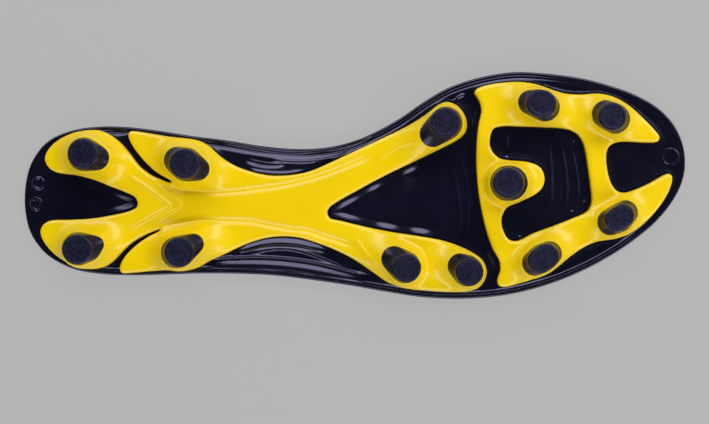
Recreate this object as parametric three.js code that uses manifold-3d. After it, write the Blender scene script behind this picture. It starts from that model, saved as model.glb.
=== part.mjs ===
// Moulded outsole of a left football boot: a black base plate, two yellow frames that carry the
// studs, and twelve black stud tips.
//
// Millimetres. The sole lies on its foot-side rim, studs up:
//   +X runs from heel to toe, +Y points to the medial (inner) side of the foot, +Z is out of the tread.
//   The origin is the middle of the outline, on the surface that the rim lies on.

import * as THREE from "three";
import { ConvexGeometry } from "three/addons/geometries/ConvexGeometry.js";
import { mergeVertices } from "three/addons/utils/BufferGeometryUtils.js";
import Module from "manifold-3d";

const wasm = await Module();
wasm.setup();

// ---- Driving dimensions ----

const joinGap = 0.3; // clearance between neighbouring mouldings

const plateTop = 4.4; // tread face of the base plate
const trayFloor = 2.9; // foot-side face inside the tray that the upper is bonded into
const trayWall = 2.4; // thickness of the rim around the tray
const trayFillet = 0.8; // inside corner of the tray
const shoulderInset = 1.8; // rounding of the tread-side edge of the rim, across
const shoulderHeight = 1.6; // and up
const heelBevel = { end: -141.6, run: 8, rise: 1.9 }; // slope of the plate behind the heel studs

const frameTop = 6.9; // tread face of the yellow frames between the studs
const frameBottom = plateTop + joinGap;
const frameEdge = 0.6; // rounding of the frames' edges

const heelRow = { capLine: 14.0, top: 19.1 };
const forefootRow = { capLine: 12.0, top: 17.4 };
const centreRow = { capLine: 12.0, top: 16.7 };
const toeRow = { capLine: 9.8, top: 15.7 };

const flare = 3.6; // how far a stud's yellow root spreads on all sides
const fairingSteps = 4; // chords in the hollow slope of a stud's root
const tipEdge = 0.6; // rounding of the wearing face's edge
const ringSides = 24; // points round a stud

const peg = { radius: 3.0, length: 2.6, sides: 16 }; // key under each stud tip
const ribRadius = 1.3; // round section of the moulded ribs, mostly sunk in
const ribSides = 8;

const outlineStep = 4.5; // longest chord along an outline
const outlineTurn = 0.4; // and the most it turns by, in radians

const colours = { base: 0x10121f, frame: 0xf0c808, tip: 0x1b1c2b };
const roughness = { base: 0.25, frame: 0.3, tip: 0.45 };

// ---- Outlines: hand-picked points, joined by smooth curves ----

const plateOutline = {
  heel: [[-129.3, -31.2], [-135.5, -25.3], [-139.6, -18.4], [-141.6, -6], [-139.6, 6.8], [-135.5, 14.1]],
  medial: [[-129.3, 20], [-119.4, 23.8], [-109.4, 25.1], [-97.5, 25], [-83.6, 23.4], [-69.7, 21.2],
    [-54.7, 19.3]],
  medialWaist: [[-39.8, 16.9], [-24.9, 15.6], [-11.9, 16.2], [0, 19], [10, 23.3], [19.9, 28.9], [29.9, 35.8]],
  medialBall: [[39.8, 41.5], [49.8, 45.1], [59.7, 47.4], [69.7, 48.5], [83.6, 47.7], [97.5, 45.8],
    [109.4, 42.7]],
  toe: [[120.4, 38.7], [130.3, 32.9], [137.3, 25.2], [141.1, 15.4], [141.2, 4.9], [137.7, -4.4],
    [130.3, -14.4]],
  lateralBall: [[120.4, -23], [108.5, -30.9], [95.5, -37.6], [81.6, -42.9], [65.7, -46.8],
    [47.8, -48.47], [29.9, -47.9]],
  lateralWaist: [[14, -45.6], [-2, -42.8], [-17.9, -40.5], [-33.8, -38.6], [-49.8, -37.8], [-65.7, -37.7]],
  lateral: [[-81.6, -38.2], [-95.5, -38.5], [-107.5, -38], [-119.4, -36]],
};

const heelFrameOutline = {
  medialHeelPod: [[-131.5, 10.8], [-130.5, 14.5], [-126.3, 18.9], [-119.9, 22.1], [-113, 23.4],
    [-107.6, 23.1], [-103.2, 21], [-98.8, 17.4]],
  medialSlit: [[-95.1, 13], [-91.6, 8.4], [-86.5, 4.4], [-81.6, 2.2], [-78.4, 1.1], [-77.6, 1.5],
    [-78.8, 2.5], [-83.5, 5.2], [-88, 9], [-91.9, 13.5], [-94.8, 17.8], [-96, 21], [-95.6, 22.5], [-94, 23]],
  medialForePod: [[-86.5, 21.9], [-77.6, 20.5], [-69.8, 19.7], [-64.9, 18.5], [-61.4, 16.4],
    [-57.5, 12.8], [-51.6, 8.8], [-44.2, 5.9]],
  medialArch: [[-36.4, 4.2], [-28.5, 4.2], [-19.7, 5.7], [-9.8, 9.8], [0, 14.4], [11.8, 19.9],
    [23.6, 25.7], [32.4, 31.4]],
  medialBranchEnd: [[36.4, 34.5], [39.8, 35.4], [43.7, 33.9], [46.9, 30.1], [48, 25.4], [46.8, 21.7],
    [43.7, 19.1]],
  forefootNotch: [[37.3, 15.8], [25.6, 10.1], [11.8, 3.4], [0, -3], [-6.9, -6.9], [-10.4, -9.4],
    [-11.4, -12], [-10, -14.2], [-5.9, -15.1], [3.9, -17.5], [15.7, -19.9], [27.5, -21.7],
    [37.3, -23.5], [45.2, -26.1], [51.1, -29.2]],
  lateralBranchEnd: [[55, -32.6], [56.4, -36.4], [55.5, -40.5], [52.9, -43.6], [48.6, -45.1]],
  lateralBranch: [[40.3, -45.4], [30.5, -44.8], [21.6, -43.8], [14.7, -41.5], [7.9, -36.9],
    [0, -31.6], [-7.9, -27.6]],
  lateralArch: [[-15.7, -24.6], [-23.6, -22.3], [-31.4, -21.8], [-39.3, -22.9], [-47.2, -25.6],
    [-55, -29.3], [-61.4, -32.2], [-66.8, -35.2], [-71.7, -36.3]],
  lateralForePod: [[-80.6, -36.2], [-89.4, -36.8], [-95.8, -37.4], [-98.9, -37.2], [-99.7, -35.4],
    [-98.3, -31.6]],
  lateralSlit: [[-95.1, -27.7], [-90.9, -24.1], [-86.5, -21.3], [-82.9, -19.5], [-82.6, -18.8],
    [-84.5, -19.3], [-89.4, -21.4], [-94.3, -24.3], [-98.1, -27.7], [-101.5, -31.3]],
  lateralHeelPod: [[-105.2, -34.2], [-110.1, -35.6], [-116, -35.1], [-122.4, -32.6], [-128.2, -28.6],
    [-132, -24], [-133.4, -19.9], [-132.3, -16.9], [-129.2, -15.1]],
  heelNotch: [[-122.8, -14.8], [-112, -14.2], [-102.2, -12.6], [-95.3, -10.9], [-92.6, -9.4],
    [-92.1, -7.5], [-93.2, -5.1], [-97.3, -3], [-104.2, -0.3], [-110.6, 2.3], [-118.9, 4.4],
    [-126.3, 5.4], [-129.7, 7.3]],
};

const forefootFrameOutline = {
  rearMedialCorner: [[51.3, 39.3], [52.4, 41.1], [57, 42.7], [63.9, 43.7], [71.2, 43.9], [78.1, 42.8]],
  medialEdge: [[84.5, 40.5], [90.4, 38.9], [97.3, 38.6], [103.7, 39], [110.1, 37.7], [116.9, 33.9],
    [123.8, 27.8]],
  toeMedialPoint: [[128.3, 23], [130, 20.4], [129.3, 18.7], [126.8, 18.2]],
  toeNotch: [[118.9, 18.5], [112.5, 18.4], [108.9, 16.8], [107.4, 13.6], [107.7, 7.2], [109.1, 1.6],
    [111.5, -2.1], [114.8, -3.2], [119.9, -1.8], [126.3, 1.1], [130.7, 3.6]],
  toeLateralPoint: [[133.6, 4.9], [135.2, 4], [135.1, 0.8], [132.9, -4.6], [128.7, -10.7]],
  lateralEdge: [[122.8, -16.7], [116.5, -21], [110.1, -23], [103.7, -23.9], [97.3, -26.7],
    [90.9, -31.1], [84.5, -36.3], [77.6, -39.4], [69.8, -41.9]],
  rearLateralCorner: [[63.9, -43.3], [61.7, -42.7], [61.1, -40.3], [62.4, -36.1], [61.9, -32.1]],
  rearEdge: [[59.2, -27.2], [57, -21.3], [54.8, -12.5], [53.1, -2.7], [52.2, 7.7], [52.3, 18],
    [53.3, 26.8], [54.3, 32], [53.4, 35.8]],
};

// The window is bent round the tongue that carries the central stud.
const forefootWindow = {
  medialArm: [[58, 20.4], [59.2, 23.8], [62.4, 25.1], [70.8, 25.1], [81.6, 24.7], [90.4, 24]],
  frontEdge: [[95.3, 21.7], [97.9, 17.5], [99.5, 9.1], [100.8, -0.2], [101.3, -7.1], [99.5, -11]],
  lateralArm: [[93.4, -14], [84, -17.7], [75.7, -20.8], [69.8, -23.7], [66.1, -23.2], [63.6, -19.5],
    [62.8, -14.4], [64.9, -9.7]],
  tongue: [[70.3, -7.1], [76.2, -4.4], [79.9, -1.4], [81.1, 2.8], [79.4, 7.4], [74.7, 9.7],
    [68.3, 10.4], [62.4, 11.3], [59, 14.2], [57.8, 17.5]],
};

// ---- Studs ----
// A circle is [x, y, radius]. The foot of a tip is the hull of the circles in `foot`, its wearing face
// is the hull of those in `face`, and its yellow root runs out to the circles in `runouts`.

const studs = [
  {
    name: "heel_rear_medial", row: heelRow, face: [[-111.7, 12.7, 6.2]],
    foot: [[-112.6, 12.7, 6.9], [-107.1, 11.2, 5.1]], runouts: [[-124, 11.5, 5], [-94, 4.5, 3.5]],
  },
  {
    name: "heel_rear_lateral", row: heelRow, face: [[-114.1, -26.8, 6.2]],
    foot: [[-115, -26.7, 6.8], [-110.7, -26.4, 5.4], [-107.8, -25, 3.6]],
    runouts: [[-125.5, -23, 5], [-95, -18.5, 3.5]],
  },
  {
    name: "heel_front_medial", row: heelRow, face: [[-69.8, 8.5, 6.2]],
    foot: [[-73.8, 10.2, 5.5], [-70, 8.5, 6.9], [-65, 6.6, 4.8]],
    runouts: [[-84, 14, 4.5], [-52, 2.5, 4]],
  },
  {
    name: "heel_front_lateral", row: heelRow, face: [[-71.9, -28, 6.2]],
    foot: [[-74, -28.2, 6.5], [-66.8, -24.7, 4.2]], runouts: [[-87, -29.5, 4.5], [-51, -20.5, 4]],
  },
  {
    name: "forefoot_rear_medial", row: forefootRow, face: [[37.8, 25.5, 6.3]],
    foot: [[38.5, 25.8, 7], [33, 21.3, 5.5]], runouts: [[21, 17, 5]],
  },
  {
    name: "forefoot_rear_lateral", row: forefootRow, face: [[21.7, -34.6, 6]],
    foot: [[21.4, -34.5, 6.6], [16.7, -31, 5.3]], runouts: [[6, -26, 4.5]],
  },
  {
    name: "forefoot_middle_lateral", row: forefootRow, face: [[47.8, -36.3, 5.8]],
    foot: [[47.6, -36, 6.5], [44.4, -34, 5.2]], runouts: [[33.5, -30.5, 4.5]],
  },
  {
    name: "forefoot_front_medial", row: forefootRow, face: [[76.9, 33.6, 5.7], [78, 33.4, 5.7]],
    foot: [[73.7, 34.6, 5], [76.8, 34.6, 5.4], [80.2, 32.6, 6]],
    runouts: [[62, 37, 4.5], [92, 31, 4.5]],
  },
  {
    name: "forefoot_centre", row: centreRow, face: [[63.9, 0.6, 6.4]],
    foot: [[64.3, 0.7, 7.3], [65.5, 0.7, 7.3]], runouts: [[75, 2, 4]],
  },
  {
    name: "forefoot_front_lateral", row: forefootRow, face: [[77.1, -31.4, 5.3], [79.5, -29.8, 5.3]],
    foot: [[75.7, -32.7, 5.3], [78.8, -30.8, 5.9], [81.9, -28.9, 5.2]],
    runouts: [[67, -36.5, 4], [93.5, -23, 4.5]],
  },
  {
    name: "toe_medial", row: toeRow, face: [[107.3, 28.3, 5.9]],
    foot: [[106.1, 29.8, 5.9], [110.1, 27.9, 6.2]], runouts: [[97, 32.5, 4.5], [120, 23, 4]],
  },
  {
    name: "toe_lateral", row: toeRow, face: [[108.9, -14.7, 4.9], [111.6, -13, 4.9]],
    foot: [[108, -15.6, 5.5], [112, -14.4, 5.4], [114.4, -11.7, 5.2]],
    runouts: [[99.5, -19.5, 4], [123, -6.5, 4]],
  },
];
const heelFrameStudCount = 7; // the first studs in the list stand on the heel frame

// ---- Moulded ribs: centre lines with the height of their crest, which dives under at both ends ----

const plateRibs = {
  medialFlange: [[-50, 13.2, 4.0], [-42, 10.8, 5.0], [-34, 9.6, 5.1], [-27, 9.8, 4.0]],
  lateralFlange: [[-50, -33, 4.0], [-44, -30.2, 5.1], [-35, -28.2, 5.2], [-24, -28.6, 5.2],
    [-12, -32, 5.2], [0, -36.8, 5.1], [8, -39.8, 4.0]],
};
const frameRibs = {
  medialArch: [[-86, 1.6, 6.6], [-76, -1.4, 7.4], [-62, -3.2, 7.5], [-46, -2.8, 7.5], [-30, -0.4, 7.5],
    [-14, 3.6, 7.4], [-2, 8, 6.6]],
  lateralArch: [[-84, -17.2, 6.6], [-74, -16, 7.4], [-60, -15.6, 7.5], [-46, -16.1, 7.5],
    [-32, -18.2, 7.5], [-18, -20.8, 7.4], [-6, -23.6, 6.6]],
};

// ---- Shape helpers ----

function smoothLoop(named) {
  const points = Object.values(named).flat().map(([x, y]) => new THREE.Vector3(x, y, 0));
  const curve = new THREE.CatmullRomCurve3(points, true, "centripetal");
  const loop = [];
  points.forEach((point, i) => {
    const next = points[(i + 1) % points.length];
    const turn = curve.getTangent(i / points.length).angleTo(curve.getTangent((i + 1) / points.length));
    const pieces = Math.ceil(Math.max(point.distanceTo(next) / outlineStep, turn / outlineTurn));
    for (let k = 0; k < pieces; k += 1) {
      const at = curve.getPoint((i + k / pieces) / points.length);
      loop.push(new THREE.Vector2(at.x, at.y));
    }
  });
  return loop;
}

// ExtrudeGeometry turns its holes the right way round only when the outline runs anticlockwise.
function shapeOf(loop, holes = []) {
  const shape = new THREE.Shape(THREE.ShapeUtils.isClockWise(loop) ? [...loop].reverse() : loop);
  shape.holes = holes.map((hole) => new THREE.Path(hole));
  return shape;
}

function solid(geometry) {
  const bare = geometry.clone();
  bare.deleteAttribute("normal");
  bare.deleteAttribute("uv");
  const merged = mergeVertices(bare, 1e-4);
  const mesh = new wasm.Mesh({
    numProp: 3,
    vertProperties: new Float32Array(merged.attributes.position.array),
    triVerts: new Uint32Array(merged.index.array),
  });
  return new wasm.Manifold(mesh);
}

function geometryOf(manifold) {
  const mesh = manifold.getMesh();
  const geometry = new THREE.BufferGeometry();
  geometry.setAttribute("position", new THREE.BufferAttribute(new Float32Array(mesh.vertProperties), 3));
  geometry.setIndex(new THREE.BufferAttribute(new Uint32Array(mesh.triVerts), 1));
  geometry.computeVertexNormals();
  return geometry;
}

// A straight-walled solid between two heights.
function prism(shape, bottom, top) {
  const geometry = new THREE.ExtrudeGeometry(shape, { depth: top - bottom, bevelEnabled: false });
  return solid(geometry.translate(0, 0, bottom));
}

// A solid whose walls stand `inset` inside the shape and round off towards both ends.
function roundedPrism(shape, bottom, top, { inset = 0, across, up, segments }) {
  const geometry = new THREE.ExtrudeGeometry(shape, {
    depth: top - bottom - 2 * up,
    bevelEnabled: true,
    bevelThickness: up,
    bevelSize: across,
    bevelOffset: -across - inset,
    bevelSegments: segments,
  });
  return solid(geometry.translate(0, 0, bottom + up));
}

function slab(bottom, top) {
  const span = 400; // wider than the sole
  const box = new THREE.BoxGeometry(span, span, top - bottom);
  return solid(box.translate(0, 0, (bottom + top) / 2));
}

// Points round the hull of some circles: for each direction, the furthest one out.
function hullRing(circles, z) {
  return Array.from({ length: ringSides }, (_, i) => {
    const angle = (2 * Math.PI * i) / ringSides;
    const direction = new THREE.Vector2(Math.cos(angle), Math.sin(angle));
    const reach = ([x, y, r]) => x * direction.x + y * direction.y + r;
    const [x, y, r] = circles.reduce((a, b) => (reach(b) > reach(a) ? b : a));
    return new THREE.Vector3(x + r * direction.x, y + r * direction.y, z);
  });
}

function nearestCircle(circles, [x, y]) {
  const distance = (circle) => Math.hypot(circle[0] - x, circle[1] - y);
  return circles.reduce((a, b) => (distance(b) < distance(a) ? b : a));
}

// The hollow slope of yellow that carries a stud: its rings spread evenly while the height drops as
// the square of what is left.
function fairing({ row, foot, runouts }) {
  const rise = row.capLine - frameTop;
  const ringAt = (spread) => {
    const near = foot.map(([x, y, r]) => [x, y, r + flare * spread]);
    const far = runouts.map((runout) => {
      const start = nearestCircle(foot, runout);
      return runout.map((value, i) => THREE.MathUtils.lerp(start[i], value, spread));
    });
    return hullRing([...near, ...far], frameTop + rise * (1 - spread) ** 2);
  };
  const layers = Array.from({ length: fairingSteps }, (_, i) => {
    const upper = ringAt(i / fairingSteps);
    const lower = ringAt((i + 1) / fairingSteps);
    const sunk = lower.map((point) => point.clone().setZ(frameBottom + joinGap));
    return solid(new ConvexGeometry([...upper, ...lower, ...sunk]));
  });
  return layers.reduce((body, layer) => body.add(layer));
}

function pegAt(stud, radius, bottom, top) {
  const cylinder = new THREE.CylinderGeometry(radius, radius, top - bottom, peg.sides);
  cylinder.rotateX(Math.PI / 2);
  const [x, y] = stud.face[0];
  return solid(cylinder.translate(x, y, (bottom + top) / 2));
}

// A round rib along a curve. Its centre lies one radius under the crest.
function rib(crest) {
  const points = crest.map(([x, y, z]) => new THREE.Vector3(x, y, z - ribRadius));
  const path = new THREE.CatmullRomCurve3(points);
  const section = new THREE.Shape();
  section.absarc(0, 0, ribRadius, 0, 2 * Math.PI, false);
  const geometry = new THREE.ExtrudeGeometry(section, {
    steps: 4 * (points.length - 1),
    curveSegments: ribSides,
    extrudePath: path,
  });
  return solid(geometry);
}

// What the sloping heel end cuts off: a block whose lower face rises from the heel's edge to `top`.
function heelWedge(top) {
  const [length, width, height] = [60, 120, 20];
  const wedge = new THREE.BoxGeometry(length, width, height);
  wedge.translate(heelBevel.run - length / 2, 0, height / 2);
  wedge.rotateY(-Math.atan2(heelBevel.rise, heelBevel.run));
  return solid(wedge.translate(heelBevel.end, 0, top - heelBevel.rise));
}

// ---- Sub-parts ----

function basePlate() {
  const outline = shapeOf(smoothLoop(plateOutline));
  const edge = { across: shoulderInset, up: shoulderHeight, segments: 2 };
  const corner = { inset: trayWall, across: trayFillet, up: trayFillet, segments: 1 };
  const depthBelow = 5; // the prisms start under the sole, and everything below zero is cut off
  let body = roundedPrism(outline, -depthBelow, plateTop, edge).subtract(heelWedge(plateTop));
  const tray = roundedPrism(outline, -depthBelow, trayFloor, corner).subtract(heelWedge(trayFloor));

  for (const crest of Object.values(plateRibs)) {
    body = body.add(rib(crest));
  }
  return body.subtract(tray).subtract(slab(-2 * depthBelow, 0));
}

function studFrame(outline, windows, carried, ribs) {
  const loops = windows.map(smoothLoop);
  const shape = shapeOf(smoothLoop(outline), loops);
  const edge = { across: frameEdge, up: frameEdge, segments: 1 };
  const below = 2; // the slab starts lower, so that only its tread-side edges stay rounded
  let body = roundedPrism(shape, frameBottom - below, frameTop, edge);
  body = body.subtract(slab(frameBottom - 2 * below, frameBottom));

  const footprint = prism(shape, frameBottom, heelRow.top);
  for (const stud of carried) {
    body = body.add(fairing(stud).intersect(footprint));
  }
  for (const crest of Object.values(ribs)) {
    body = body.add(rib(crest).intersect(footprint));
  }
  for (const stud of carried) {
    const socketBottom = stud.row.capLine - peg.length;
    body = body.subtract(pegAt(stud, peg.radius + joinGap, socketBottom, stud.row.capLine + joinGap));
  }
  return body;
}

function studTip(stud) {
  const { capLine, top } = stud.row;
  const flatFace = stud.face.map(([x, y, r]) => [x, y, r - tipEdge]);
  const cap = new ConvexGeometry([
    ...hullRing(stud.foot, capLine + joinGap),
    ...hullRing(stud.face, top - tipEdge),
    ...hullRing(flatFace, top),
  ]);
  const overlap = 1; // how far the key reaches up into the cap
  const key = pegAt(stud, peg.radius, capLine + joinGap - peg.length, capLine + joinGap + overlap);
  return solid(cap).add(key);
}

// ---- Assembly ----

function moulding(name, manifold, color, rough) {
  const material = new THREE.MeshStandardMaterial({ color, roughness: rough, metalness: 0 });
  const mesh = new THREE.Mesh(geometryOf(manifold), material);
  mesh.name = name;
  return mesh;
}

const outsole = new THREE.Group();
const heelStuds = studs.slice(0, heelFrameStudCount);
const forefootStuds = studs.slice(heelFrameStudCount);

const heelFrame = studFrame(heelFrameOutline, [], heelStuds, frameRibs);
const forefootFrame = studFrame(forefootFrameOutline, [forefootWindow], forefootStuds, {});

outsole.add(moulding("base_plate", basePlate(), colours.base, roughness.base));
outsole.add(moulding("heel_frame", heelFrame, colours.frame, roughness.frame));
outsole.add(moulding("forefoot_frame", forefootFrame, colours.frame, roughness.frame));
for (const stud of studs) {
  outsole.add(moulding(`stud_tip_${stud.name}`, studTip(stud), colours.tip, roughness.tip));
}

export default outsole;
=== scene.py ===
"""Looks of a moulded football-boot outsole: a black base plate, two yellow frames and twelve stud tips.

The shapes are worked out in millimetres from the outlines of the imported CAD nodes, and become metres
when a mesh is made. The tread faces up, +X runs from heel to toe and +Y is the medial side.
"""

import math

import bpy
import numpy as np
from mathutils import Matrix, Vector, geometry, kdtree

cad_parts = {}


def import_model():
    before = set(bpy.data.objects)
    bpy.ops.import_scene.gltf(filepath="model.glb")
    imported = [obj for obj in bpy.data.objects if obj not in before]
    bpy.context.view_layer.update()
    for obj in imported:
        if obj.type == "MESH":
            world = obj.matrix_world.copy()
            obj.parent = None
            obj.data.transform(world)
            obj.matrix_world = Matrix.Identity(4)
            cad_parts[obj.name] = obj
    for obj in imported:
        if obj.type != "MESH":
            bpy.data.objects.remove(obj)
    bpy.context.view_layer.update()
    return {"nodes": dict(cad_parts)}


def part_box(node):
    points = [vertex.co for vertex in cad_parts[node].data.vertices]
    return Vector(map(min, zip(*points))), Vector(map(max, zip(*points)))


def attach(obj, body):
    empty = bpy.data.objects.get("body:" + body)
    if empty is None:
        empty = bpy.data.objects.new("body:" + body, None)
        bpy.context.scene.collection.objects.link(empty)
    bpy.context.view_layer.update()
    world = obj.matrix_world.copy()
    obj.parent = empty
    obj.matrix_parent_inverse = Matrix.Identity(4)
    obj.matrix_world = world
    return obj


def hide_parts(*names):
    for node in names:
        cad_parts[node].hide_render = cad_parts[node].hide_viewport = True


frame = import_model()

# ---- Sizes, in millimetres ----

MM = 0.001
JOIN_GAP = 0.3  # the CAD keeps its mouldings this far apart
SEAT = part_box("heel_frame")[0].z / MM  # underside of the yellow frames
PLATE_TOP = SEAT - JOIN_GAP
FRAME_TOP = PLATE_TOP + 2.5
FRAME_SINK = 0.4  # how far the visible frames reach into the plate, so that no gap shows
TRAY_FLOOR = 2.9  # the foot side of the plate, inside its rim
TRAY_FILLET = 0.8
HEEL_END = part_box("base_plate")[0].x / MM
HEEL_SLOPE = {"run": 8.0, "rise": 1.9}  # the plate slopes down to its heel end
KEY_LENGTH = 2.6  # the peg under each CAD stud tip
FLARE = {"heel": 5.0, "forefoot": 3.8}  # how far a stud's yellow root spreads on all sides
LOBE = 4  # how narrow its run-outs are
HOLLOW = 2.7  # how strongly a root's slope is hollowed
COLLAR = 0.35  # flat yellow rim round a stud's foot
BEVEL = {"width": 1.35, "slope": 0.42}  # along the edges of the frames
CHAMFER_BLEND = 0.5  # how softly the bevel meets the face
EDGE_ROUNDING = 0.5  # and the rounding outside it
TIP_EDGE = 0.6  # rounding round a wearing face
FRAME_WALL = {"lift": 0.3, "steepness": 5}  # the most that a root may rise above the frame near its edge
ROOT_REACH = 48  # beyond which a stud adds nothing to its frame
SOCKET = {"reach": 15, "depth": 1.2, "slope": 0.4}  # hidden hollow in a root, under its tip
COLLAR_FALL = 2.2  # how steeply a root falls away outside its collar
RIM_ROUNDING = 0.8  # tread-side edge of the base plate
LIP = {"height": 0.12, "width": 0.6, "fade": 1.2}  # low lip on the plate round the frames
DISH = {"depth": 0.25, "extra": 0.75, "slope": 3.0, "from_frame": 1.0, "from_rim": 4.2}  # plate's floor
PIP = {"height": 0.25, "width": 0.45}
MARK_WIDTH = 0.5
HIDDEN_DROP = 0.2  # the plate under the frames lies this much lower than they reach
TIP_SINK = 0.8  # how far a visible tip reaches into its root
TIP_CLEARANCE = 0.05  # and how far inside its foot it does
FACE_INSET = 0.5  # the flat of a wearing face starts this far inside its CAD outline
# Rings of the dished face: (share of the way out, depth).
FACE_DISH = [(0.94, 0.1), (0.88, 0.16), (0.8, 0.17), (0.55, 0.15), (0.25, 0.12)]
FACE_MIDDLE = 0.1  # depth of the dish at its middle
FACE_BAND = 0.2  # what lies nearer than this to a tip's top has the wearing face's grain

OUTLINE_STEP = 0.5
STUD_STEP = 0.25
LINE_STEP = 0.45
TIP_TURNS = 96  # points round a tip
INSETS = (0.12, 0.3, 0.55, 0.85, 1.2, 1.6, 2.1)  # rings of points inside an outline
PLATE_INSETS = (0.12, 0.3, 0.55, 0.85, 1.1, 1.4, 1.7, 2.1, 2.5, 2.9, 3.3, 3.8, 4.4)
FOOT_RINGS = (-3.5, -2.7, -2.0, -1.4, -0.9, -0.5, -0.2, 0.0, 0.12, 0.4)  # and round a stud's foot
FRAME_RINGS = (-3.6, -3.0, -2.4, -1.9, -1.4, -0.95, -0.6, -0.25, 0.0, 0.25)  # and round the frames
GRID = 0.75
TRAY_GRID, TRAY_INSETS = 3.0, (0.1, 0.25, 0.5, 0.9)
RING_SLACK = 0.03  # how much nearer than its offset a ring's point may lie
RIM_MARGIN = 0.25  # how near to an outline a ring round something else may come
MERGE = 0.12  # points within a square of about this size become one
SLOPE_STEP = 0.03  # over which a relief's slope is measured

# Each stud, and the places its yellow root runs out to.
HEEL_STUDS = {
    "heel_rear_medial": [(-129.5, 12), (-92, 6)],
    "heel_rear_lateral": [(-131, -22.3), (-93, -19)],
    "heel_front_medial": [(-89, 14.7), (-50, 4)],
    "heel_front_lateral": [(-91, -30.6), (-48, -20.6)],
    "forefoot_rear_medial": [(7, 9)],
    "forefoot_rear_lateral": [(-7.5, -20)],
    "forefoot_middle_lateral": [(26, -28.4)],
}
FOREFOOT_STUDS = {
    "forefoot_front_medial": [(56.5, 36.8), (97.5, 30)],
    "forefoot_centre": [(80, 2.6)],
    "forefoot_front_lateral": [(62.5, -38.7), (98.5, -21)],
    "toe_medial": [(91.5, 33.5), (123.5, 21.3)],
    "toe_lateral": [(95, -21.6), (126.3, -5)],
}

# Moulded lines: (points, height, half width on the left, and on the right, length over which each
# end fades).
FRAME_LINES = [
    ([(-90.5, 3.5), (-84.5, 1), (-78.5, -1), (-72.5, -2), (-65, -2.5), (-57, -3), (-49, -2.5),
      (-41.5, -1.5), (-33.5, -0.5), (-25.5, 1), (-17.5, 3), (-10, 5.5), (0, 9.5), (10, 14)],
     -0.75, 1.3, 1.3, 9),
    ([(-86.5, -19), (-80.5, -17), (-74.5, -16), (-67, -15), (-59, -15), (-51, -15), (-43, -15.5),
      (-35.5, -17), (-27.5, -18.5), (-19.5, -19.5), (-12, -22), (-4, -24.5), (3, -27.5)],
     -0.75, 1.3, 1.3, 9),
    ([(-98, 5.5), (-92, 1.6), (-86, -2.6), (-79.5, -7.6), (-78.2, -9), (-80, -10.2), (-86, -13.4),
      (-92, -17), (-98, -21)], 0.55, 1.0, 1.0, 6),
    ([(-90, 4.8), (-84.5, 1.2), (-79, -3), (-75.3, -6.2), (-73.8, -8.2), (-75.5, -10.4), (-81, -13.4),
      (-86.5, -16.4)], 0.5, 0.95, 0.95, 6),
    # creases across the forefoot arms
    ([(8, 8.8), (17, 15.3), (27.5, 19.2)], 0.35, 1.6, 0.6, 6),
    ([(-0.5, -21), (5, -28.5), (11, -35)], 0.35, 0.6, 1.6, 5),
    ([(23.5, -27.5), (29, -34), (35, -40)], 0.35, 0.6, 1.6, 5),
]
PLATE_LINES = [
    # medial waist: a ramp down towards the rim, a ridge, a leaf-shaped dimple and a lip
    ([(-66, 19.4), (-54.4, 17.3), (-41.5, 15), (-27.3, 13.4), (-13.1, 14.3), (1.1, 18.1), (10, 21.7)],
     -0.95, 0.7, 2.2, 9),
    ([(-36, 11.2), (-28.9, 10.3), (-19.2, 10.2), (-8.3, 11.9), (0, 14.4)], 0.42, 0.8, 0.8, 6),
    ([(-48, 11.6), (-42, 9.6), (-37, 8.7), (-32, 8.8), (-27, 9.8)], -0.6, 1.3, 0.9, 6),
    ([(-46, 6.9), (-40, 5.6), (-34.7, 5), (-28.1, 5.1), (-20, 6.5)], 0.35, 0.8, 0.8, 6),
    # lateral waist: a ramp beside the yellow arch, a ridge, and a ramp up towards the rim
    ([(-54, -30.2), (-47.8, -28), (-40.1, -25.8), (-33, -25), (-24, -25.6), (-15, -27.6), (-8, -30)],
     -0.9, 2.1, 0.8, 11),
    ([(-48.5, -31.1), (-42.5, -28.9), (-36, -27.4), (-28, -27.2), (-20, -29), (-11, -32.4),
      (-3.6, -35.6), (4, -38)], 0.35, 0.8, 0.8, 9),
    ([(-64, -33.2), (-58, -31.8), (-50, -31.4), (-40, -31.2), (-29.7, -31.8), (-17.9, -33.4),
      (-8.4, -35.6), (0, -37.6), (8, -39.4)], -1.05, 0.9, 2.5, 10),
    # the bar between the medial heel pods
    ([(-110.5, 23.8), (-104, 23.6), (-96, 22.8)], -0.8, 0.6, 1.6, 3),
    # short ridges behind the forefoot frame
    ([(41.8, 35.3), (44.8, 37.7), (48, 39.2)], 0.35, 0.7, 0.7, 2),
    ([(51.6, 31.6), (51.2, 27), (50.8, 22.8)], 0.3, 0.7, 0.7, 3),
    ([(56.6, -27.5), (59.4, -32), (60.2, -36.5)], 0.35, 0.7, 0.7, 3),
    # shallow flex lines across the notch and the window
    ([(41, 9), (44, -2), (45, -14), (43.5, -22)], 0.3, 0.8, 0.8, 9),
    ([(45, 14), (48, 1), (48.6, -12), (47, -24)], 0.25, 0.7, 0.7, 9),
    ([(65.2, 24), (65.4, 12.5)], 0.25, 0.7, 0.7, 4),
    ([(82.5, 22), (84.2, 4), (83.6, -13)], 0.32, 0.9, 0.9, 10),
    ([(87.5, 20), (90, 8), (90.8, -3), (89.5, -12)], 0.3, 0.8, 0.8, 8),
    ([(92, 19), (94.5, 8), (95.6, -3), (94, -10)], 0.25, 0.7, 0.7, 8),
]
# Grooves along the plate's edge: (distance inside it, depth, half width).
RIM_GROOVES = [(1.45, 0.14, 0.32), (2.6, 0.22, 0.45)]
# Where the plate's floor is dished deeply beside the frames: (x, y, reach).
NOTCH_TIPS = [
    (-97, -7, 7), (-112, -5, 4), (-2, -9, 7), (8.5, -1, 4), (14, -17, 5), (24.2, 5, 4), (28.5, -18, 4.5),
]
# Tiny pips on the floor of the window.
PIPS = [(65.1, 12), (70.5, -22), (93.8, 18.6), (98.1, -7), (93, -11.3)]
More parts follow.
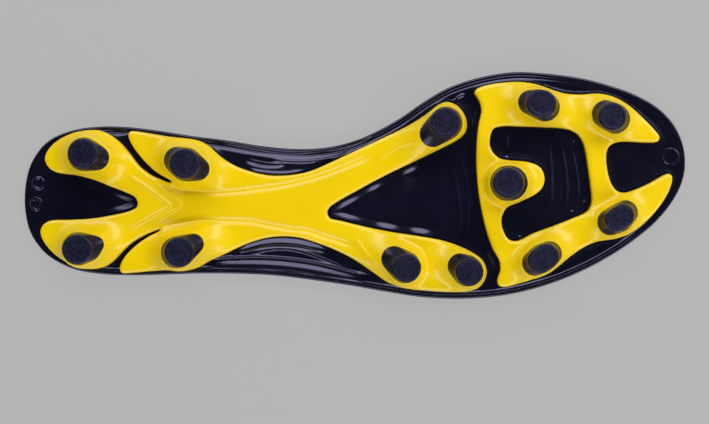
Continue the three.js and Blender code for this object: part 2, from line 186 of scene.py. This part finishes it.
# Plain round moulding marks: (x, y, radius, height).
MARKS = [(135, 12, 3.4, 0.2), (-134.9, 0.8, 2.4, 0.38), (-135.9, -8, 2.4, 0.38)]

CAMERA = {"x": 0.0002, "y": -0.0114, "height": 0.4, "sensor": 36.0, "view_width": 0.30615}


# ---- Curves and distances ----

def spline(points, closed, spacing):
    """Points every `spacing` along a smooth curve through the given ones."""
    p = np.asarray(points, float)
    if closed:
        p = np.vstack([p[-1], p, p[0], p[1]])
    else:
        p = np.vstack([2 * p[0] - p[1], p, 2 * p[-1] - p[-2]])
    pieces = []
    for a, b, c, d in zip(p, p[1:], p[2:], p[3:]):
        u, v, w = (max(np.linalg.norm(side), 1e-9) ** 0.5 for side in (b - a, c - b, d - c))
        leave = ((b - a) / u - (c - a) / (u + v) + (c - b) / v) * v
        arrive = ((c - b) / v - (d - b) / (v + w) + (d - c) / w) * v
        count = max(math.ceil(np.linalg.norm(c - b) / spacing), 1)
        t = np.arange(count)[:, None] / count
        pieces.append(
            (2 * t**3 - 3 * t**2 + 1) * b + (t**3 - 2 * t**2 + t) * leave
            + (3 * t**2 - 2 * t**3) * c + (t**3 - t**2) * arrive
        )
    if not closed:
        pieces.append(p[-2:-1])
    return np.vstack(pieces)


def area_of(loop):
    x, y = loop[:, 0], loop[:, 1]
    return 0.5 * float(np.sum(x * np.roll(y, -1) - np.roll(x, -1) * y))


class Track:
    """Dense points along closed outlines or one open line, for the distances to them.

    An outer outline runs anticlockwise and a hole clockwise, so the material is on the left."""

    def __init__(self, curves, closed=True):
        self.points = np.vstack(curves)
        self.before, self.after, first = [], [], 0
        for curve in curves:
            place = np.arange(len(curve))
            if closed:
                back, on = (place - 1) % len(curve), (place + 1) % len(curve)
            else:
                back, on = np.maximum(place - 1, 0), np.minimum(place + 1, len(curve) - 1)
            self.before.append(first + back)
            self.after.append(first + on)
            first += len(curve)
        self.before, self.after = np.concatenate(self.before), np.concatenate(self.after)
        ahead = self.points[self.after] - self.points[self.before]
        ahead /= np.linalg.norm(ahead, axis=1)[:, None]
        self.inward = np.c_[-ahead[:, 1], ahead[:, 0]]
        steps = np.linalg.norm(np.diff(self.points, axis=0), axis=1)
        self.along = np.concatenate([[0], np.cumsum(steps)])
        self.tree = kdtree.KDTree(len(self.points))
        for i, (x, y) in enumerate(self.points):
            self.tree.insert((x, y, 0), i)
        self.tree.balance()

    def nearest(self, xy):
        """(signed distance, how far along the nearest place is): positive on the left."""
        index = np.array([self.tree.find((x, y, 0))[1] for x, y in xy], int)
        start, passed = self.points[index], self.along[index]
        away = xy - start
        gap, place = np.full(len(xy), np.inf), passed
        for other in (self.before[index], self.after[index]):
            side = self.points[other] - start
            t = np.clip((away * side).sum(1) / np.maximum((side**2).sum(1), 1e-12), 0, 1)
            reach = np.linalg.norm(away - t[:, None] * side, axis=1)
            place = np.where(reach < gap, passed + t * (self.along[other] - passed), place)
            gap = np.minimum(gap, reach)
        left = (away * self.inward[index]).sum(1) >= 0
        return np.where(left, gap, -gap), place

    def distance(self, xy):
        return self.nearest(xy)[0]

    def close(self, xy, reach):
        """Which points are in the track's box, grown by a reach."""
        low, high = self.points.min(0) - reach, self.points.max(0) + reach
        return ((xy > low) & (xy < high)).all(1)

    def rings(self, offsets):
        return np.vstack([self.points + offset * self.inward for offset in offsets])


def closed_loops(follow, where):
    """The closed loops that {point: next point} makes, largest first, with holes clockwise."""
    loops = []
    while follow:
        at, ring = next(iter(follow)), []
        while at in follow:
            ring.append(where[at])
            at = follow.pop(at)
        loops.append(np.array(ring))
    loops.sort(key=lambda loop: -abs(area_of(loop)))
    return [
        loop if (area_of(loop) > 0) == (i == 0) else loop[::-1] for i, loop in enumerate(loops)
    ]


def flat_outlines(node, height):
    """The closed outlines, largest first, of a CAD node's flat faces at one height."""
    mesh = frame["nodes"][node].data
    corners = np.array([v.co for v in mesh.vertices]) / MM
    same_height = np.abs(corners[:, 2] - height) < 0.02
    names = {}
    number = [names.setdefault(tuple(c), len(names)) for c in np.round(corners, 2)]
    sides = set()
    for face in mesh.polygons:
        if same_height[list(face.vertices)].all():
            ring = [number[v] for v in face.vertices]
            sides.update(zip(ring, ring[1:] + ring[:1]))
    follow = {a: b for a, b in sides if (b, a) not in sides}
    return closed_loops(follow, [corner[:2] for corner in names])


def smooth_outline(loops):
    return Track([spline(loop, True, OUTLINE_STEP) for loop in loops])


# ---- Profiles ----

def ease(t):
    t = np.clip(t, 0, 1)
    return t * t * (3 - 2 * t)


def bump(distance, width):
    return np.exp(-((distance / width) ** 2))


def higher(a, b, blend):
    """The larger of two heights, with the crease between them rounded."""
    near = np.maximum(blend - np.abs(a - b), 0) / blend
    return np.maximum(a, b) + near**2 * blend / 4


def lower(a, b, blend):
    return -higher(-a, -b, blend)


def chamfer(distance, width, slope):
    """How far a broad gentle bevel lies below the face, at a distance inside the outline."""
    return slope * higher(width - distance, 0 * distance, CHAMFER_BLEND)


def rounding(distance, radius):
    """How far a rounded edge lies below the face, at a distance inside the outline."""
    t = np.clip(1 - distance / radius, 0, 1)
    return radius * (1 - np.sqrt(1 - t**2))


class Line:
    """A moulded line on a face: a ridge, or a groove where its height is negative.

    Its half widths, on the left and on the right as it runs, may differ."""

    def __init__(self, points, height, left, right, fade):
        self.track = Track([spline(points, False, LINE_STEP)], closed=False)
        self.height, self.left, self.right, self.fade = height, left, right, fade

    def relief(self, xy):
        total = np.zeros(len(xy))
        near = np.flatnonzero(self.track.close(xy, 3 * max(self.left, self.right)))
        if len(near):
            gap, along = self.track.nearest(xy[near])
            ends = ease(np.minimum(along, self.track.along[-1] - along) / self.fade)
            total[near] = self.height * ends * bump(gap, np.where(gap > 0, self.left, self.right))
        return total

    def offsets(self):
        shares = np.array([0.42, 0.85, 1.3, 1.9])
        return [*(-shares[::-1] * self.right), 0, *(shares * self.left)]


# ---- Meshes ----

def scatter(outline, spacing, insets, tracks=()):
    """Points over the inside of an outline: rings along it, rings at offsets from other tracks, and a
    staggered grid over the rest. tracks is a list of (track, offsets)."""
    found = []
    for inset in insets:
        ring = outline.rings([inset])
        found.append(ring[outline.distance(ring) > inset - RING_SLACK])
    low, high = outline.points.min(0), outline.points.max(0)
    rows = np.arange(low[1], high[1], spacing * math.sqrt(0.75))
    x, y = np.meshgrid(np.arange(low[0], high[0], spacing), rows)
    x = x + spacing / 2 * (np.arange(len(rows)) % 2)[:, None]
    grid = np.c_[x.ravel(), y.ravel()]
    grid = grid[outline.distance(grid) > insets[-1] + spacing / 2]
    margin = spacing / 2
    for track, offsets in tracks:
        kept = []
        for offset in offsets:
            ring = track.rings([offset])
            kept.append(ring[np.abs(track.distance(ring)) > abs(offset) - RING_SLACK])
        ring = np.vstack(kept)
        found.append(ring[outline.distance(ring) > RIM_MARGIN])
        near = track.close(grid, offsets[-1] + margin)
        gap = np.full(len(grid), np.inf)
        gap[near] = track.distance(grid[near])
        grid = grid[(gap < offsets[0] - margin) | (gap > offsets[-1] + margin)]
    found.append(grid)
    return np.vstack(found)


def triangulate(outline, inner):
    """(points, triangles) inside an outline, anticlockwise."""
    if len(inner):
        _, first = np.unique(np.round(inner / MERGE), axis=0, return_index=True)
        inner = inner[np.sort(first)]
    points = [Vector(p) for p in np.vstack([outline.points, inner])]
    sides = [(i, int(j)) for i, j in enumerate(outline.after)]
    made = geometry.delaunay_2d_cdt(points, sides, [], 1, 1e-4)
    flat, triangles = np.array([tuple(p) for p in made[0]]), np.array(made[2])
    return flat, triangles[outline.distance(flat[triangles].mean(1)) > 0]


def rim_sides(triangles):
    """The directed sides that only one triangle has."""
    sides = {(int(a), int(b)) for t in triangles for a, b in zip(t, np.roll(t, -1))}
    return [(a, b) for a, b in sides if (b, a) not in sides]


class Shell:
    """The points and faces of one closed piece."""

    def __init__(self):
        self.points, self.faces = [], []
        self.smoothed, self.normals = 0, None  # the first faces may carry a relief's exact normals

    def add(self, points):
        first = len(self.points)
        self.points += [tuple(map(float, p)) for p in points]
        return first + np.arange(len(points))

    def sheet(self, flat, triangles, height_at, down=False):
        """A relief over a flat triangulation. Returns its points' numbers."""
        heights = height_at(flat)
        number = self.add(np.c_[flat, heights])
        order = slice(None, None, -1) if down else slice(None)
        self.faces += [tuple(number[t][order].tolist()) for t in triangles]
        if not down:
            self.smoothed = len(self.faces)
            along = (height_at(flat + (SLOPE_STEP, 0)) - heights) / SLOPE_STEP
            across = (height_at(flat + (0, SLOPE_STEP)) - heights) / SLOPE_STEP
            normals = np.c_[-along, -across, np.ones(len(flat))]
            self.normals = normals / np.linalg.norm(normals, axis=1)[:, None]
        return number

    def wall(self, number, triangles, flat, height, down=False):
        """A wall from a sheet's rim to one height: {flat point: number of its foot}."""
        feet = {}
        for a, b in rim_sides(triangles):
            for end in (a, b):
                if end not in feet:
                    feet[end] = int(self.add([(*flat[end], height)])[0])
            quad = (int(number[a]), feet[a], feet[b], int(number[b]))
            self.faces.append(quad[::-1] if down else quad)
        return {tuple(flat[k]): v for k, v in feet.items()}

    def cap(self, feet, down=True):
        """Closes a wall's feet with a flat face. feet is {flat point: number}, in any order."""
        outline = self.edge_track(feet)
        flat, triangles = triangulate(outline, np.zeros((0, 2)))
        keys = {tuple(np.round(k, 3)): v for k, v in feet.items()}
        number = [keys[tuple(np.round(p, 3))] for p in flat]
        for a, b, c in triangles:
            face = (number[a], number[b], number[c])
            self.faces.append(face[::-1] if down else face)

    def edge_track(self, feet):
        """The closed outlines that the open sides of the faces make between some points."""
        where = {v: k for k, v in feet.items()}
        sides = set()
        for face in self.faces:
            for a, b in zip(face, face[1:] + face[:1]):
                if a in where and b in where:
                    sides.add((a, b))
        follow = {b: a for a, b in sides if (b, a) not in sides}
        return Track(closed_loops(follow, where))

    def build(self, name, *materials):
        mesh = bpy.data.meshes.new(name)
        mesh.from_pydata((np.array(self.points) * MM).tolist(), [], self.faces)
        for material in materials:
            mesh.materials.append(material)
        mesh.polygons.foreach_set("use_smooth", [True] * len(mesh.polygons))
        mesh.set_sharp_from_angle(angle=math.radians(50))
        mesh.update()
        if self.smoothed:
            given = [tuple(self.normals[v]) for face in self.faces[:self.smoothed] for v in face]
            left = len(mesh.loops) - len(given)
            mesh.normals_split_custom_set(given + [(0.0, 0.0, 0.0)] * left)
        piece = bpy.data.objects.new(name, mesh)
        bpy.context.scene.collection.objects.link(piece)
        return piece


# ---- Studs ----

class Stud:
    """A stud's foot and wearing face, from its CAD tip, and the yellow root under it."""

    def __init__(self, name, runouts, flare):
        low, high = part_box(f"stud_tip_{name}")
        self.name, self.runouts, self.flare = name, runouts, flare
        self.top = high.z / MM
        self.cap = low.z / MM + KEY_LENGTH - JOIN_GAP
        foot = flat_outlines(f"stud_tip_{name}", self.cap + JOIN_GAP)[0]
        self.foot = Track([spline(foot, True, STUD_STEP)])
        self.face = spline(flat_outlines(f"stud_tip_{name}", self.top)[0], True, STUD_STEP)
        self.centre = self.face.mean(0)

    def outside(self, xy):
        return -self.foot.distance(xy)

    def spread(self, xy):
        """How far out in the root each point lies: 0 on the foot, 1 where the root ends."""
        middle = self.foot.points.mean(0)
        away = xy - middle
        away /= np.maximum(np.linalg.norm(away, axis=1), 0.01)[:, None]
        reach = np.full(len(xy), self.flare)
        for end in self.runouts:
            ahead = np.array(end) - middle
            length = np.linalg.norm(ahead)
            beyond = length - (self.foot.points @ ahead).max() / length + middle @ ahead / length
            reach += (beyond - self.flare) * np.maximum(away @ ahead / length, 0) ** LOBE
        return np.maximum(self.outside(xy) - COLLAR, 0) / reach


def frame_height(xy, outline, studs, lines):
    """Height of a yellow frame's tread face."""
    rim = outline.distance(xy)
    height = np.full(len(xy), FRAME_TOP)
    for line in lines:
        height += line.relief(xy)
    limit = FRAME_TOP + FRAME_WALL["lift"] + FRAME_WALL["steepness"] * rim
    roots, collars = np.zeros(len(xy)), np.zeros(len(xy))
    for stud in studs:
        near = np.flatnonzero(np.linalg.norm(xy - stud.centre, axis=1) < ROOT_REACH)
        rise = stud.cap - FRAME_TOP
        root = rise * np.clip(1 - stud.spread(xy[near]), 0, 1) ** HOLLOW
        roots[near] = np.cbrt(roots[near] ** 3 + root**3)
        outside = stud.outside(xy[near])
        limit[near] += rise * (1 - ease(outside))
        fall = COLLAR_FALL * np.maximum(outside - COLLAR, 0) ** 1.5
        collars[near] = np.maximum(collars[near], stud.cap - fall)
    height = np.maximum(lower(height + roots, limit, 1.0), collars)
    for stud in studs:
        near = np.flatnonzero(np.linalg.norm(xy - stud.centre, axis=1) < SOCKET["reach"])
        outside = stud.outside(xy[near])
        sunk = stud.cap - SOCKET["depth"] * ease(-outside / SOCKET["slope"])
        height[near] = np.where(outside <= 0, sunk, height[near])
    return height - chamfer(rim, BEVEL["width"], BEVEL["slope"]) - rounding(rim, EDGE_ROUNDING)


def frame_piece(name, node, studs, lines, material):
    outline = smooth_outline(flat_outlines(node, SEAT))
    tracks = [(line.track, line.offsets()) for line in lines]
    tracks += [(stud.foot, FOOT_RINGS) for stud in studs]
    flat, triangles = triangulate(outline, scatter(outline, GRID, INSETS, tracks))
    shell = Shell()
    number = shell.sheet(flat, triangles, lambda xy: frame_height(xy, outline, studs, lines))
    feet = shell.wall(number, triangles, flat, SEAT - FRAME_SINK)
    shell.cap(feet)
    return shell.build(name, material), outline


# ---- Base plate ----

def heel_drop(x):
    return HEEL_SLOPE["rise"] * np.clip((HEEL_END + HEEL_SLOPE["run"] - x) / HEEL_SLOPE["run"], 0, 1)


def plate_height(xy, outline, frames, lines):
    """Height of the base plate's tread face."""
    rim = outline.distance(xy)
    beside = -np.max([f.distance(xy) for f in frames], axis=0)  # how far outside the yellow frames
    x, y = xy.T
    beads = ease((x + 128) / 12) * (1 - ease((x - 70) / 30) * ease((y + 25) / 20))
    height = np.full(len(xy), PLATE_TOP)
    for inset, depth, width in RIM_GROOVES:
        height -= depth * beads * bump(rim - inset, width)
    lip = ease(beside / 0.25) * (1 - ease((beside - LIP["width"]) / LIP["fade"]))
    height += LIP["height"] * lip * ease((rim - 2.5) / 1.5)
    at_tips = sum(bump(np.hypot(x - tx, y - ty), reach) for tx, ty, reach in NOTCH_TIPS)
    dish = np.minimum(beside - DISH["from_frame"], rim - DISH["from_rim"])
    height -= (DISH["depth"] + DISH["extra"] * np.minimum(at_tips, 1)) * ease(dish / DISH["slope"])
    for line in lines:
        height += line.relief(xy)
    for px, py in PIPS:
        height += PIP["height"] * bump(np.hypot(x - px, y - py), PIP["width"])
    for mx, my, radius, rise in MARKS:
        height += rise * bump(np.hypot(x - mx, y - my) - radius, MARK_WIDTH)
    height -= rounding(rim, RIM_ROUNDING) + heel_drop(x)
    return np.where(beside < -0.25, SEAT - FRAME_SINK - HIDDEN_DROP - heel_drop(x), height)


def tray_height(xy, outline):
    """Height of the plate's foot side, inside the rim."""
    rim = outline.distance(xy)
    return TRAY_FLOOR - rounding(rim, TRAY_FILLET) - heel_drop(xy[:, 0])


def base_plate(frames, lines, material):
    loops = flat_outlines("base_plate", 0)
    outline, tray = smooth_outline(loops[:1]), smooth_outline([loops[1][::-1]])
    tracks = [(f, FRAME_RINGS) for f in frames] + [(line.track, line.offsets()) for line in lines]
    points = scatter(outline, GRID, PLATE_INSETS, tracks)
    covered = np.max([f.distance(points) for f in frames], axis=0) > 0.5
    flat, triangles = triangulate(outline, points[~covered])
    shell = Shell()
    number = shell.sheet(flat, triangles, lambda xy: plate_height(xy, outline, frames, lines))
    feet = shell.wall(number, triangles, flat, 0)

    flat, triangles = triangulate(tray, scatter(tray, TRAY_GRID, TRAY_INSETS))
    number = shell.sheet(flat, triangles, lambda xy: tray_height(xy, tray), down=True)
    feet.update(shell.wall(number, triangles, flat, 0, down=True))
    shell.cap(feet)
    return shell.build("base_plate_moulding", material)


# ---- Stud tips ----

def tip_piece(stud, side_material, face_material):
    """A blunt cap between the CAD foot and the CAD wearing face, which is slightly dished."""
    angle = 2 * math.pi * np.arange(TIP_TURNS) / TIP_TURNS
    ways = np.c_[np.cos(angle), np.sin(angle)]
    foot = stud.foot.points[(stud.foot.points @ ways.T).argmax(0)]
    face = stud.face[(stud.face @ ways.T).argmax(0)]
    rings = [(foot - TIP_CLEARANCE * ways, stud.cap - TIP_SINK)]
    shoulder = stud.top - TIP_EDGE
    for t in np.linspace(0, 1, 9):
        pull = 1 - (1 - t) ** 1.3
        rings.append((foot + pull * (face + TIP_EDGE * ways - foot), stud.cap + t * (shoulder - stud.cap)))
    flat = face - FACE_INSET * ways
    for t in np.linspace(0, math.pi / 2, 10)[1:]:
        rim = flat + (FACE_INSET + TIP_EDGE) * math.cos(t) * ways
        rings.append((rim, shoulder + TIP_EDGE * math.sin(t)))
    for share, depth in FACE_DISH:
        rings.append((stud.centre + share * (flat - stud.centre), stud.top - depth))
    shell = Shell()
    number = [shell.add(np.c_[flat, np.full(TIP_TURNS, z)]) for flat, z in rings]
    for below, above in zip(number, number[1:]):
        for i in range(TIP_TURNS):
            j = (i + 1) % TIP_TURNS
            shell.faces.append((int(below[i]), int(below[j]), int(above[j]), int(above[i])))
    middle = int(shell.add([(*stud.centre, stud.top - FACE_MIDDLE)])[0])
    under = int(shell.add([(*foot.mean(0), stud.cap - TIP_SINK)])[0])
    for i in range(TIP_TURNS):
        j = (i + 1) % TIP_TURNS
        shell.faces.append((int(number[-1][i]), int(number[-1][j]), middle))
        shell.faces.append((int(number[0][j]), int(number[0][i]), under))
    piece = shell.build(f"tip_{stud.name}", side_material, face_material)
    for face in piece.data.polygons:
        height = sum(piece.data.vertices[v].co.z for v in face.vertices) / len(face.vertices)
        face.material_index = 1 if height > (stud.top - FACE_BAND) * MM else 0
    return piece


# ---- Materials ----

def plastic(name, shades, patch, roughness, grain, specular=0.5, tint=(1, 1, 1)):
    """Moulded plastic whose colour wanders through some shades.

    patch is how many patches of shade there are per metre. grain is (scale per metre, height in
    metres, how much it darkens and lightens)."""
    material = bpy.data.materials.new(name)
    material.use_nodes = True
    nodes, links = material.node_tree.nodes, material.node_tree.links
    shader = nodes["Principled BSDF"]
    shader.inputs["Specular IOR Level"].default_value = specular
    shader.inputs["Specular Tint"].default_value = (*tint, 1)
    place = nodes.new("ShaderNodeTexCoord")

    def noise(scale, detail):
        made = nodes.new("ShaderNodeTexNoise")
        made.inputs["Scale"].default_value = scale
        made.inputs["Detail"].default_value = detail
        links.new(place.outputs["Object"], made.inputs["Vector"])
        return made.outputs["Fac"]

    def spread(value, low, high):
        """Most of a noise's range, mapped to low ... high."""
        made = nodes.new("ShaderNodeMapRange")
        made.inputs["From Min"].default_value = 0.3
        made.inputs["From Max"].default_value = 0.7
        made.inputs["To Min"].default_value = low
        made.inputs["To Max"].default_value = high
        links.new(value, made.inputs["Value"])
        return made.outputs["Result"]

    ramp = nodes.new("ShaderNodeValToRGB")
    stops = ramp.color_ramp.elements
    while len(stops) < len(shades):
        stops.new(0.5)
    for i, shade in enumerate(shades):
        stops[i].position = 0.32 + 0.36 * i / (len(shades) - 1)
        stops[i].color = (*shade, 1)
    links.new(noise(patch, 3), ramp.inputs["Fac"])

    grit = noise(grain[0], 2)
    speckled = nodes.new("ShaderNodeVectorMath")
    speckled.operation = "SCALE"
    links.new(ramp.outputs["Color"], speckled.inputs[0])
    links.new(spread(grit, 1 - grain[2], 1 + grain[2]), speckled.inputs["Scale"])
    links.new(speckled.outputs["Vector"], shader.inputs["Base Color"])
    links.new(spread(noise(140, 4), roughness * 0.85, roughness * 1.15), shader.inputs["Roughness"])

    relief = nodes.new("ShaderNodeBump")
    relief.inputs["Distance"].default_value = grain[1]
    links.new(grit, relief.inputs["Height"])
    links.new(relief.outputs["Normal"], shader.inputs["Normal"])
    return material


VIOLET = (0.67, 0.63, 1.0)
BLACK_SHADES = [(0.0024, 0.0028, 0.0080), (0.0036, 0.0036, 0.0112)]
YELLOW_SHADES = [(0.75, 0.51, 0.0), (0.78, 0.555, 0.0)]
SIDE_SHADES = [(0.003, 0.003, 0.006), (0.006, 0.004, 0.010)]
FACE_SHADES = [(0.010, 0.006, 0.021), (0.003, 0.007, 0.016), (0.010, 0.007, 0.026), (0.003, 0.009, 0.013)]

black = plastic("black moulding", BLACK_SHADES, 35, 0.2, (900, 0.00002, 0.1), 0.75, VIOLET)
yellow = plastic("yellow moulding", YELLOW_SHADES, 35, 0.3, (1100, 0.00001, 0.01), 0.45)
tip_side = plastic("stud side", SIDE_SHADES, 200, 0.25, (1400, 0.00003, 0.2), 0.45, VIOLET)
tip_face = plastic("stud face", FACE_SHADES, 420, 0.45, (1300, 0.0001, 0.85), 0.3, VIOLET)


# ---- The object ----

heel_studs = [Stud(name, runouts, FLARE["heel"]) for name, runouts in HEEL_STUDS.items()]
forefoot_studs = [Stud(name, runouts, FLARE["forefoot"]) for name, runouts in FOREFOOT_STUDS.items()]
frame_lines = [Line(*line) for line in FRAME_LINES]
plate_lines = [Line(*line) for line in PLATE_LINES]
heel, heel_outline = frame_piece("heel_frame_moulding", "heel_frame", heel_studs, frame_lines, yellow)
fore, fore_outline = frame_piece("forefoot_frame_moulding", "forefoot_frame", forefoot_studs, [], yellow)
plate = base_plate([heel_outline, fore_outline], plate_lines, black)

for piece, node, slot in (
    (plate, "base_plate", "base_black"),
    (heel, "heel_frame", "frame_yellow"),
    (fore, "forefoot_frame", "frame_yellow"),
):
    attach(piece, "root")
    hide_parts(node)

for stud in heel_studs + forefoot_studs:
    tip = tip_piece(stud, tip_side, tip_face)
    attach(tip, "root")
    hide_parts(f"stud_tip_{stud.name}")


# ---- Floor, light and camera ----

def floor():
    half, below = 20.0, -0.0003
    mesh = bpy.data.meshes.new("floor")
    corners = [(-half, -half, below), (half, -half, below), (half, half, below), (-half, half, below)]
    mesh.from_pydata(corners, [], [(0, 1, 2, 3)])
    made = bpy.data.objects.new("floor", mesh)
    bpy.context.scene.collection.objects.link(made)
    paint = bpy.data.materials.new("floor paint")
    paint.use_nodes = True
    shader = paint.node_tree.nodes["Principled BSDF"]
    shader.inputs["Base Color"].default_value = (0.055, 0.055, 0.056, 1)
    shader.inputs["Emission Color"].default_value = (1, 1, 1, 1)  # evens out the sole's shadow
    shader.inputs["Emission Strength"].default_value = 0.4
    shader.inputs["Roughness"].default_value = 0.9
    shader.inputs["Specular IOR Level"].default_value = 0.1
    mesh.materials.append(paint)


def area_light(name, place, size, watts):
    """A soft rectangle that faces the middle of the sole. size is (along X, across)."""
    light = bpy.data.lights.new(name, "AREA")
    light.shape = "RECTANGLE"
    light.size, light.size_y = size
    light.energy = watts
    lamp = bpy.data.objects.new(name, light)
    lamp.location = place
    lamp.rotation_euler = (Vector((0, 0, 0)) - Vector(place)).to_track_quat("-Z", "Y").to_euler()
    bpy.context.scene.collection.objects.link(lamp)


SKY = [(0.0, 0.72), (0.16, 0.68), (0.28, 0.13), (0.85, 0.03)]  # (how high, how bright)


def world():
    """A pale backdrop low down and dark above it, so that flat glossy faces stay deep."""
    made = bpy.data.worlds.new("studio")
    bpy.context.scene.world = made
    made.use_nodes = True
    nodes, links = made.node_tree.nodes, made.node_tree.links
    place = nodes.new("ShaderNodeTexCoord")
    parts = nodes.new("ShaderNodeSeparateXYZ")
    links.new(place.outputs["Generated"], parts.inputs["Vector"])
    ramp = nodes.new("ShaderNodeValToRGB")
    stops = ramp.color_ramp.elements
    while len(stops) < len(SKY):
        stops.new(1)
    for stop, (height, shade) in zip(stops, SKY):
        stop.position, stop.color = height, (shade, shade, shade * 1.05, 1)
    links.new(parts.outputs["Z"], ramp.inputs["Fac"])
    links.new(ramp.outputs["Color"], nodes["Background"].inputs["Color"])
    nodes["Background"].inputs["Strength"].default_value = 0.6


def camera():
    data = bpy.data.cameras.new("camera")
    data.sensor_width = CAMERA["sensor"]
    data.lens = CAMERA["sensor"] * CAMERA["height"] / CAMERA["view_width"]
    data.clip_start = 0.01
    made = bpy.data.objects.new("camera", data)
    made.location = (CAMERA["x"], CAMERA["y"], CAMERA["height"])
    bpy.context.scene.collection.objects.link(made)
    bpy.context.scene.camera = made


floor()
area_light("medial strip", (0.1, 0.55, 0.5), (2.1, 0.4), 11.0)
area_light("lateral strip", (0.1, -0.6, 0.5), (2.1, 0.34), 9.0)
area_light("toe panel", (1.0, 0.0, 0.6), (2.0, 0.8), 1.3)
world()
camera()
bpy.context.scene.view_settings.view_transform = "Standard"
